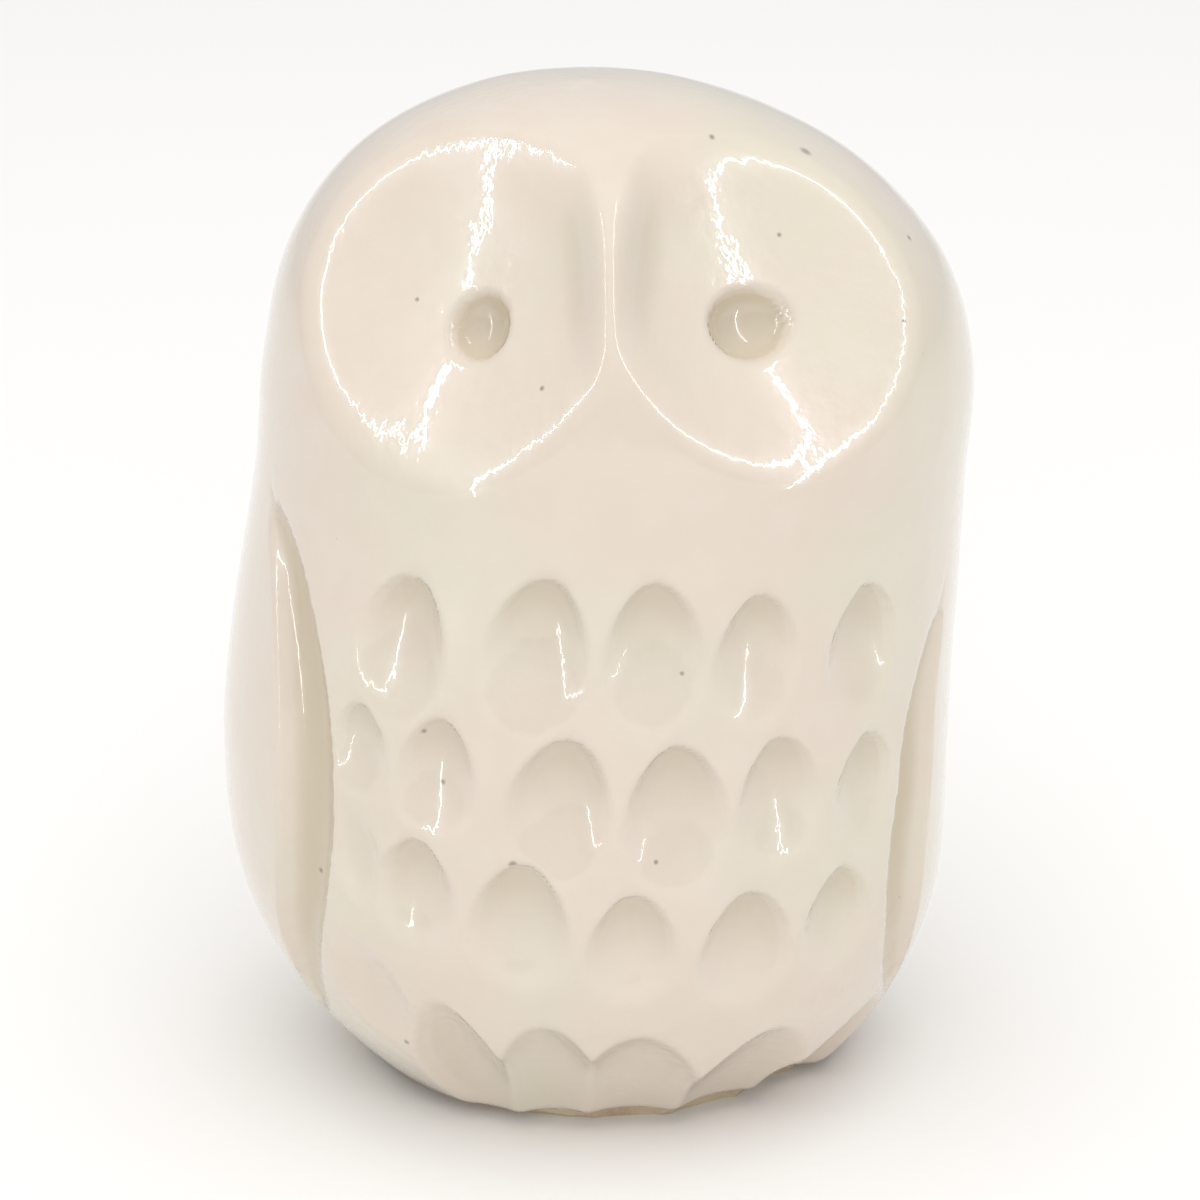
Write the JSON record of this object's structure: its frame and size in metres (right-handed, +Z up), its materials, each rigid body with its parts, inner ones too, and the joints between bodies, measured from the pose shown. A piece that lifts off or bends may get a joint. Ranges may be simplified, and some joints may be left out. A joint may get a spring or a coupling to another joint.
{
  "type": "owl figurine",
  "caption": "Small upright stoneware owl: domed head, two dished eye sockets beside a narrow nose ridge, carved feather gouges on the chest, folded wings, glossy cream glaze.",
  "frame": {"origin": "On the table plane, in the middle of the floor slab's underside.", "axes": "+Z is up along the owl's height. The owl looks along -Y. +X is to the right when the owl is seen from the front."},
  "size_m": [0.0518, 0.0431, 0.0715],
  "materials": {
    "cream_glaze": "glossy clear-over-cream glaze with sparse iron specks",
    "fired_clay": "matte unglazed buff stoneware",
    "fired_slab_clay": "matte unglazed buff stoneware, scraped level"
  },
  "bodies": {
    "root": {"glaze_coat": "cream_glaze", "clay_body": "fired_clay", "floor_slab": "fired_slab_clay"}
  },
  "joints": []
}
